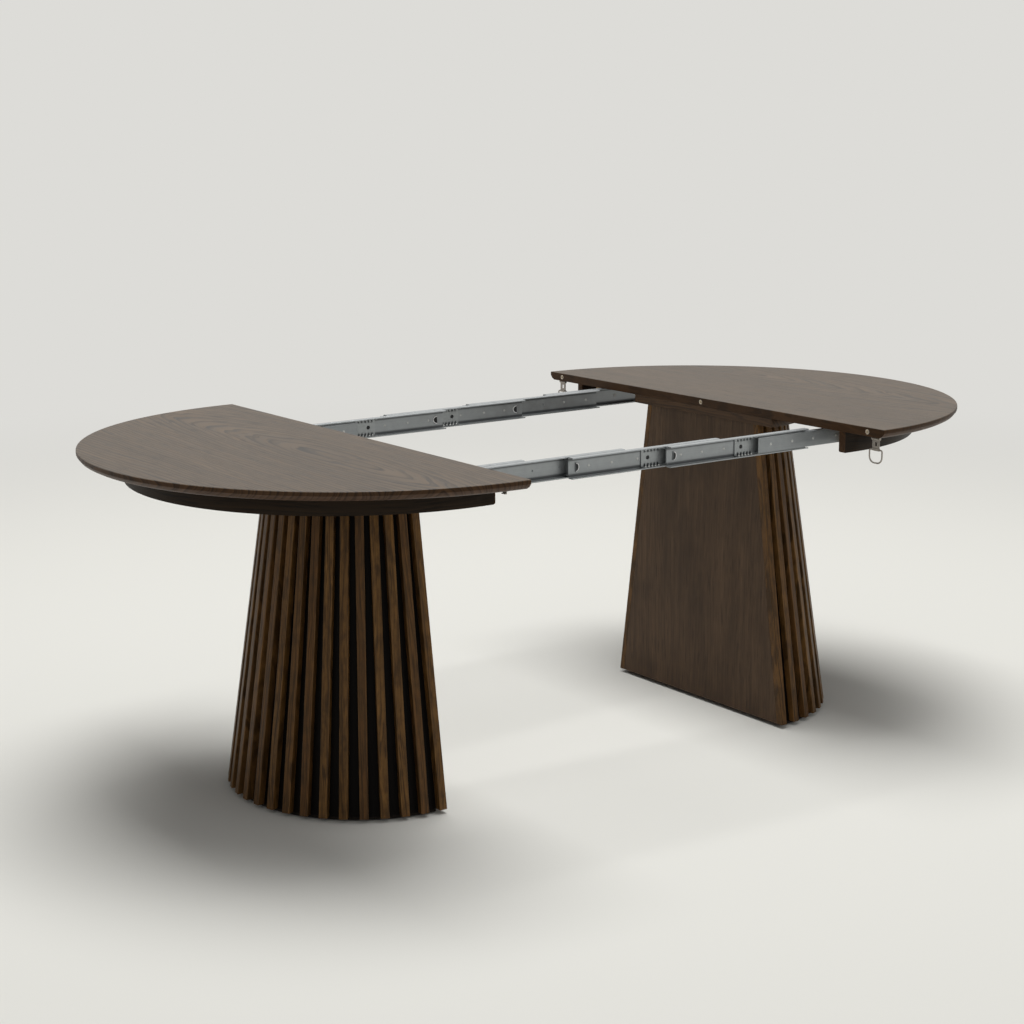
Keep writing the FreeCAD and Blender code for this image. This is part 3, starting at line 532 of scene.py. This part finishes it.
# Slide channels: roll-formed steel strip, bright zinc plated, with bent corners and lips that keep
# the balls in. The last two of each slide have a half-moon stop pressed out of the web.
ZINC_PALE = (176, 180, 182)
ZINC_DARK = (138, 142, 144)
ZINC_METAL = 0.6
ZINC_SHINE = 0.25
SLIDE_MEMBERS = 5
# Painted shade: a darker band on the channel web just inside each lip, where the lips overhang it.
TRACK_SHADE = (52, 54, 56)
TRACK_SHADE_START = 0.0122
TRACK_SHADE_FULL = 0.0152
TRACK_SHADE_END = 0.0195
TRACK_SHADE_SHARE = 0.75

zinc = plated("zinc channel", ZINC_PALE, ZINC_DARK, Metallic=ZINC_METAL, Coat_Weight=ZINC_SHINE)
tree = zinc.node_tree
shader = tree.nodes["Principled BSDF"]
plating = shader.inputs["Base Color"].links[0].from_socket
x, y, z = axes(tree)
# The web is darkened between these distances from the middle, as painted shade under the upper and lower
# lips.
low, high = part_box("near_channel_1")
off_middle = reckon(tree, "ABSOLUTE", reckon(tree, "SUBTRACT", z, (low.z + high.z) / 2))
track_shade = add(tree, "ShaderNodeMapRange", {"Value": off_middle, "From Min": TRACK_SHADE_START,
                                          "From Max": TRACK_SHADE_FULL, "To Max": TRACK_SHADE_SHARE}).outputs[0]
track_shade = reckon(tree, "MULTIPLY", track_shade, reckon(tree, "LESS_THAN", off_middle, TRACK_SHADE_END))
feed(tree, shader.inputs["Base Color"], mixed(tree, track_shade, plating, colour(TRACK_SHADE)))
channels = [row + "_channel_%d" % n for row in ROWS for n in range(1, SLIDE_MEMBERS)]
paint(zinc, *channels)


# Rivets: each rail is held to the back of its channel by steel rivets, whose low domes show on
# the channel's web. The last rail has no channel, and shows its own.
STRIP_THICKNESS = 0.0015
RIVET_STATIONS = {2: (0.034, 0.103), 3: (0.053, 0.114, 0.183), 4: (0.040, 0.099, 0.162)}
LAST_RIVET_STATIONS = (0.037, 0.101, 0.165, 0.235)
RIVET_PROFILE = ((0.0, 0.0008), (0.0015, 0.00072), (0.0025, 0.0004), (0.003, 0.0))
RIVET_SIDES = 24
RIVET_PALE = (214, 215, 213)
RIVET_DARK = (170, 171, 170)


def new_piece(name, mesh):
    """Turn a built mesh into a smooth-shaded piece of the table."""
    data = bpy.data.meshes.new(name)
    mesh.to_mesh(data)
    mesh.free()
    data.shade_smooth()
    piece = bpy.data.objects.new(name, data)
    bpy.context.scene.collection.objects.link(piece)
    return piece


def turned_piece(name, profile, places, sides, away):
    """One mesh of like turned pieces: a profile of (radius, height) spun about the line away."""
    mesh = bmesh.new()
    upright = Vector((0, 0, 1)).rotation_difference(away).to_matrix().to_4x4()
    for place in places:
        rings = []
        for radius, height in profile:
            count = sides if radius > 0 else 1
            ring = []
            for i in range(count):
                turn = 2 * math.pi * i / count
                spot = Vector((radius * math.cos(turn), radius * math.sin(turn), height))
                ring.append(mesh.verts.new(Matrix.Translation(place) @ upright @ spot))
            rings.append(ring)
        for upper, lower in zip(rings, rings[1:]):
            for i in range(sides):
                n = (i + 1) % sides
                corners = [upper[i % len(upper)], lower[i % len(lower)],
                           lower[n % len(lower)], upper[n % len(upper)]]
                mesh.faces.new(list(dict.fromkeys(corners)))
        if len(rings[-1]) > 1:
            mesh.faces.new(rings[-1][::-1])
    bmesh.ops.recalc_face_normals(mesh, faces=mesh.faces)
    return new_piece(name, mesh)


def along_member(row, node, station):
    """The X of a station that is counted from a slide piece's leading end."""
    low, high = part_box(node)
    return low.x + station if row == "near" else high.x - station


TOWARDS_MOUTH = Vector((0, -1, 0))
rivet_steel = plated("rivet steel", RIVET_PALE, RIVET_DARK, Metallic=0.8)


def rivet_row(name, row, node, stations, face_y, body):
    """Rivets along the middle of a slide piece's face."""
    low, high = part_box(node)
    middle = (low.z + high.z) / 2
    places = [Vector((along_member(row, node, station), face_y, middle)) for station in stations]
    rivets = turned_piece(name, RIVET_PROFILE, places, RIVET_SIDES, TOWARDS_MOUTH)
    rivets.data.materials.append(rivet_steel)
    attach(rivets, body)


for row in ROWS:
    for n, stations in RIVET_STATIONS.items():
        channel = row + "_channel_%d" % n
        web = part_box(channel)[1].y - STRIP_THICKNESS
        rivet_row("%s_rivets_%d" % (row, n), row, channel, stations, web,
                  "%s_member_%d" % (row, n))


# Half-moon stops: the last two channels of each slide have a half moon pressed out of the web. A
# bright wire along its round edge is a painted highlight, and a dark sheet in its hollow is painted shade.
STOP_CHANNELS = (3, 4)
STOP_STATION = 0.018
STOP_REACH = 0.009
STOP_RISE = 0.003
HIGHLIGHT_WIRE_RADIUS = 0.0011
HIGHLIGHT_WIRE_REACH = 0.0086
STOP_SHADE_REACH = 0.0076
STOP_SHADE_PROUD = 0.00015
STOP_STEPS = 16
HIGHLIGHT_WIRE_SMOOTHNESS = 3
# The wire along the stop's edge is near white as a painted highlight.
HIGHLIGHT_PALE = (250, 250, 249)
HIGHLIGHT_DARK = (232, 233, 233)
# The sheet in the stop's hollow is near black as painted shade.
SHADE_PALE = (40, 41, 42)
SHADE_DARK = (18, 19, 20)
SHADE_MOTTLE = 300.0
SMOOTH_RELIEF, SMOOTH_DEPTH = 0.1, 0.0002

painted_highlight = plated("painted highlight lip", HIGHLIGHT_PALE, HIGHLIGHT_DARK, Metallic=0.3)
painted_shade, tree, shader = new_finish("painted shade", Roughness=0.6)
mottle = cloud(tree, rest_place(tree), SHADE_MOTTLE, detail=3.0)
feed(tree, shader.inputs["Base Color"], mixed(tree, mottle, colour(SHADE_DARK), colour(SHADE_PALE)))
relief(tree, shader, mottle, SMOOTH_RELIEF, SMOOTH_DEPTH)


def half_moon(centre, heading, reach, proud):
    """Points round a half moon on the slope of a stop, from its lower to its upper corner."""
    points = []
    for i in range(STOP_STEPS + 1):
        turn = math.pi * (i / STOP_STEPS - 0.5)
        out = reach * math.cos(turn)
        rise = STOP_RISE * (1 - out / STOP_REACH) + proud
        points.append(centre + Vector((heading * out, -rise, reach * math.sin(turn))))
    return points


def bent_wire(name, places, radius, smoothness, closed):
    """A round wire bent through a line of places, closed to a ring or capped at its ends."""
    wire = bpy.data.curves.new(name, "CURVE")
    wire.dimensions = "3D"
    wire.bevel_depth = radius
    wire.bevel_resolution = smoothness
    wire.use_fill_caps = not closed
    line = wire.splines.new("POLY")
    line.use_cyclic_u = closed
    line.points.add(len(places) - 1)
    for spot, place in zip(line.points, places):
        spot.co = (*place, 1.0)
    piece = bpy.data.objects.new(name, wire)
    bpy.context.scene.collection.objects.link(piece)
    return piece


for row, heading in (("near", 1), ("far", -1)):
    for n in STOP_CHANNELS:
        channel = row + "_channel_%d" % n
        low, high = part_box(channel)
        centre = Vector((along_member(row, channel, STOP_STATION), high.y - STRIP_THICKNESS,
                         (low.z + high.z) / 2))
        highlight_wire = bent_wire("%s_stop_lip_%d" % (row, n), half_moon(centre, heading, HIGHLIGHT_WIRE_REACH, 0.0),
                        HIGHLIGHT_WIRE_RADIUS, HIGHLIGHT_WIRE_SMOOTHNESS, closed=False)
        highlight_wire.data.materials.append(painted_highlight)
        # A thin dark sheet in the hollow of the stop: painted shade.
        mesh = bmesh.new()
        front, back = ([mesh.verts.new(place)
                        for place in half_moon(centre, heading, STOP_SHADE_REACH, lift)]
                       for lift in (STOP_SHADE_PROUD, 0.0))
        for i in range(len(front)):
            mesh.faces.new((front[i - 1], front[i], back[i], back[i - 1]))
        mesh.faces.new(front)
        mesh.faces.new(back[::-1])
        bmesh.ops.recalc_face_normals(mesh, faces=mesh.faces)
        shade_sheet = new_piece("%s_stop_hollow_%d" % (row, n), mesh)
        shade_sheet.data.materials.append(painted_shade)
        for piece in (highlight_wire, shade_sheet):
            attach(piece, "%s_member_%d" % (row, n))


# Inner rails: formed strip of the same zinc-plated steel with a ball groove along each edge. Each
# runs in the channel before it and is riveted to the back of the next.
RAIL_PALE = (164, 168, 170)
RAIL_DARK = (126, 130, 132)

rail_zinc = plated("zinc rail", RAIL_PALE, RAIL_DARK, Metallic=ZINC_METAL, Coat_Weight=ZINC_SHINE)
rails = [row + "_rail_%d" % n for row in ROWS for n in range(2, SLIDE_MEMBERS + 1)]
paint(rail_zinc, *rails)
for row, body in (("near", "right_half"), ("far", "left_half")):
    rail = row + "_rail_%d" % SLIDE_MEMBERS
    rivet_row(row + "_rivets_%d" % SLIDE_MEMBERS, row, rail, LAST_RIVET_STATIONS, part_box(rail)[0].y,
              body)


# Ball cages: thin pressed strip that keeps the balls apart, pocketed along both edges, with a
# dark disc in the round hole near its leading end as painted shade. They travel at half the speed of the
# rails.
# The cages get a paler zinc than the channels: painted light that lifts them in the shade inside the
# channels.
CAGE_PALE = (186, 190, 191)
CAGE_DARK = (136, 140, 141)
CAGE_HOLE_STATION = 0.018
HOLE_SHADE_PROFILE = ((0.0, 0.0007), (0.002, 0.0006), (0.0033, 0.0004), (0.0041, 0.0001), (0.0041, 0.0))

cage_zinc = plated("zinc cage", CAGE_PALE, CAGE_DARK, Metallic=ZINC_METAL)
cages = [row + "_cage_%d" % n for row in ROWS for n in range(1, SLIDE_MEMBERS)]
paint(cage_zinc, *cages)
for row in ROWS:
    for n in range(1, SLIDE_MEMBERS):
        cage = row + "_cage_%d" % n
        low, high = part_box(cage)
        place = Vector((along_member(row, cage, CAGE_HOLE_STATION), high.y, (low.z + high.z) / 2))
        # A dark disc fills the hole: painted shade for the dark inside it.
        hole_shade = turned_piece("%s_cage_hole_shade_%d" % (row, n), HOLE_SHADE_PROFILE, [place], RIVET_SIDES, TOWARDS_MOUTH)
        hole_shade.data.materials.append(painted_shade)
        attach(hole_shade, "%s_ball_cage_%d" % (row, n))


# Balls: polished steel balls in the pockets of each cage, in a row along the upper and the lower
# track of the channel.
BALL_RADIUS = 0.00215
BALL_PITCH = 0.009
BALL_COUNT = 5
BALL_BACK = 0.00525
TRACK_RISE = 0.01865
BALL_STEPS = 12
BALL_PALE = (236, 236, 234)
BALL_DARK = (212, 212, 210)

polished = plated("polished ball", BALL_PALE, BALL_DARK, Metallic=0.9)
turns = [math.pi * i / BALL_STEPS for i in range(1, BALL_STEPS)]
ball_profile = [(BALL_RADIUS * math.sin(turn), BALL_RADIUS * math.cos(turn)) for turn in turns]
ball_profile = [(0.0, BALL_RADIUS), *ball_profile, (0.0, -BALL_RADIUS)]
for row in ROWS:
    for n in range(1, SLIDE_MEMBERS):
        cage = row + "_cage_%d" % n
        low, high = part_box(cage)
        middle = (low.z + high.z) / 2
        places = [Vector((along_member(row, cage, (i + 1) * BALL_PITCH), high.y - BALL_BACK, middle + rise))
                  for i in range(BALL_COUNT) for rise in (TRACK_RISE, -TRACK_RISE)]
        balls = turned_piece("%s_balls_%d" % (row, n), ball_profile, places, 2 * BALL_STEPS,
                             Vector((0, 0, 1)))
        balls.data.materials.append(polished)
        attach(balls, "%s_ball_cage_%d" % (row, n))


# Slide screws: short screws of the same plated steel as the plate screws. They run through the end
# members of the slides into the bearers.
paint(steel, *each_half("slide_screws"))


# Alignment pins and bushes: pale moulded plastic. Three pins are driven into the left split edge,
# and three fluted sleeves in the right one take them. The stain has run onto the sleeves' rims.
PIN_PALE = (246, 238, 222)
PIN_SHADE = (222, 208, 184)
BUSH_STAINED = (84, 62, 45)
BUSH_OUTSIDE = 0.006
BUSH_CLEAN = 0.0052
PIN_MOTTLE = 160.0

pin_plastic, tree, shader = new_finish("pin plastic", Roughness=0.4)
mottle = cloud(tree, rest_place(tree), PIN_MOTTLE)
x, y, z = axes(tree)
low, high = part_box("socket_bushes")
off_middle = reckon(tree, "ABSOLUTE", y)
off_end = reckon(tree, "ABSOLUTE", reckon(tree, "SUBTRACT", off_middle, high.y - BUSH_OUTSIDE))
side_square = reckon(tree, "POWER", reckon(tree, "MINIMUM", off_middle, off_end), 2.0)
rise_square = reckon(tree, "POWER", reckon(tree, "SUBTRACT", z, (low.z + high.z) / 2), 2.0)
off_axis = reckon(tree, "SQRT", reckon(tree, "ADD", side_square, rise_square))
stained = reckon(tree, "GREATER_THAN", off_axis, BUSH_CLEAN)
plastic = mixed(tree, mottle, colour(PIN_SHADE), colour(PIN_PALE))
feed(tree, shader.inputs["Base Color"], mixed(tree, stained, plastic, colour(BUSH_STAINED)))
relief(tree, shader, mottle, SMOOTH_RELIEF, SMOOTH_DEPTH)
paint(pin_plastic, "alignment_pins", "socket_bushes")


# Latch plates, straps and hooks: pressed steel, nickel plated. The plates are screwed under the
# right half and hinge the straps; the hooks sit under the left half.
NICKEL_PALE = (178, 170, 160)
NICKEL_DARK = (98, 92, 86)

nickel = plated("latch nickel", NICKEL_PALE, NICKEL_DARK, Metallic=0.9, Coat_Weight=0.5)
paint(nickel, "latch_plates", "near_latch_strap", "far_latch_strap", "left_latch_hooks")


# Wire loops: nickel-plated wire bent into a ring, square at the strap and round at the free end,
# where it drops over the hook of the other half.
WIRE_RADIUS = 0.0017
LOOP_TOP_BEND = 0.004
LOOP_END_BEND = 0.014
BEND_STEPS = 8
WIRE_SMOOTHNESS = 4

for row in ROWS:
    node = row + "_latch_loop"
    low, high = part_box(node)
    bar_x = (low.x + high.x) / 2
    y0, y1 = low.y + WIRE_RADIUS, high.y - WIRE_RADIUS
    z0, z1 = low.z + WIRE_RADIUS, high.z - WIRE_RADIUS
    bends = ((y1 - LOOP_TOP_BEND, z1 - LOOP_TOP_BEND, LOOP_TOP_BEND, 90),
             (y1 - LOOP_END_BEND, z0 + LOOP_END_BEND, LOOP_END_BEND, 0),
             (y0 + LOOP_END_BEND, z0 + LOOP_END_BEND, LOOP_END_BEND, -90),
             (y0 + LOOP_TOP_BEND, z1 - LOOP_TOP_BEND, LOOP_TOP_BEND, -180))
    places = []
    for bend_y, bend_z, bend, start in bends:
        for i in range(BEND_STEPS + 1):
            turn = math.radians(start - 90.0 * i / BEND_STEPS)
            places.append((bar_x, bend_y + bend * math.cos(turn), bend_z + bend * math.sin(turn)))
    loop = bent_wire(row + "_wire_loop", places, WIRE_RADIUS, WIRE_SMOOTHNESS, closed=True)
    loop.data.materials.append(nickel)
    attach(loop, row + "_loop")
    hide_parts(node)


# Studio: a pale floor that runs into a pale backdrop, one broad soft lamp high up and a little behind
# the table, and fill light from all round, stronger from the front. The floor fades to the backdrop.
FLOOR_COLOUR = (220, 219, 213)
BACKDROP_COLOUR = (221, 220, 216)
FLOOR_RADIUS = 60.0
FLOOR_SIDES = 96
FADE_START = 2.4
FADE_END = 5.5
FILL_COLOUR = (255, 255, 255)
FILL_LIGHT = 0.30
FILL_FRONT = (0.0, -1.0, 0.0)
FILL_LEAN = 0.85
LAMP_PLACE = (0.5, 0.75, 8.0)
LAMP_SIZE = (4.6, 5.6)
LAMP_POWER = 630.0


def looked_at(tree):
    """One where a surface is seen by the camera or in a reflection, and nothing where it lights."""
    rays = add(tree, "ShaderNodeLightPath").outputs
    return reckon(tree, "MAXIMUM", rays["Is Camera Ray"], rays["Is Glossy Ray"])


mesh = bmesh.new()
bmesh.ops.create_circle(mesh, cap_ends=True, segments=FLOOR_SIDES, radius=FLOOR_RADIUS)
floor = new_piece("studio_floor", mesh)
floor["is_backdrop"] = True
floor_paint, tree, shader = new_finish("studio floor", Roughness=0.9, Base_Color=colour(FLOOR_COLOUR),
                                       Specular_IOR_Level=0.1)
away = add(tree, "ShaderNodeVectorMath", {0: rest_place(tree)}, operation="LENGTH").outputs["Value"]
fade = add(tree, "ShaderNodeMapRange", {"Value": away, "From Min": FADE_START, "From Max": FADE_END},
           interpolation_type="SMOOTHSTEP")
even = add(tree, "ShaderNodeEmission", {"Color": colour(BACKDROP_COLOUR)})
blend = add(tree, "ShaderNodeMixShader", {0: reckon(tree, "MULTIPLY", fade.outputs[0], looked_at(tree)),
                                          1: shader.outputs[0], 2: even.outputs[0]})
feed(tree, tree.nodes["Material Output"].inputs["Surface"], blend.outputs[0])
floor.data.materials.append(floor_paint)

world = bpy.data.worlds.new("studio light")
bpy.context.scene.world = world
world.use_nodes = True
tree = world.node_tree
tree.nodes.clear()
heading = add(tree, "ShaderNodeTexCoord").outputs["Generated"]
frontal = add(tree, "ShaderNodeVectorMath", {0: heading, 1: FILL_FRONT}, operation="DOT_PRODUCT")
strength = reckon(tree, "MULTIPLY_ADD", frontal.outputs["Value"], FILL_LIGHT * FILL_LEAN, FILL_LIGHT)
fill = add(tree, "ShaderNodeBackground", {"Color": colour(FILL_COLOUR), "Strength": strength})
pale = add(tree, "ShaderNodeBackground", {"Color": colour(BACKDROP_COLOUR)})
sky = add(tree, "ShaderNodeMixShader", {0: looked_at(tree), 1: fill.outputs[0], 2: pale.outputs[0]})
add(tree, "ShaderNodeOutputWorld", {"Surface": sky.outputs[0]})

lamp_data = bpy.data.lights.new("overhead softbox", "AREA")
lamp_data.shape = "RECTANGLE"
lamp_data.size, lamp_data.size_y = LAMP_SIZE
lamp_data.energy = LAMP_POWER
lamp = bpy.data.objects.new("overhead softbox", lamp_data)
lamp.location = LAMP_PLACE
bpy.context.scene.collection.objects.link(lamp)
bpy.context.scene.view_settings.view_transform = "Standard"


# Camera: at the height and turn of the photograph, in front of the left half and a little above
# the tops. Its place and lens were fitted to the rims, slides and pedestals.
CAMERA_PLACE = (-2.6308, -3.5590, 1.4465)
CAMERA_YAW = 0.62066
CAMERA_PITCH = 0.20420
CAMERA_ROLL = -0.00512
CAMERA_LENS = 69.68
SENSOR_WIDTH = 36.0

ahead = Vector((math.sin(CAMERA_YAW) * math.cos(CAMERA_PITCH),
                math.cos(CAMERA_YAW) * math.cos(CAMERA_PITCH), -math.sin(CAMERA_PITCH)))
level = Vector((math.cos(CAMERA_YAW), -math.sin(CAMERA_YAW), 0.0))
upward = level.cross(ahead)
right = level * math.cos(CAMERA_ROLL) + upward * math.sin(CAMERA_ROLL)
upward = right.cross(ahead)
lens = bpy.data.cameras.new("photo camera")
lens.lens = CAMERA_LENS
lens.sensor_width = SENSOR_WIDTH
camera = bpy.data.objects.new("photo camera", lens)
turn = Matrix((right, upward, -ahead)).transposed().to_4x4()
camera.matrix_world = Matrix.Translation(CAMERA_PLACE) @ turn
bpy.context.scene.collection.objects.link(camera)
bpy.context.scene.camera = camera


# The box of the dressed model, leaving out the studio floor.
low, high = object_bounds()
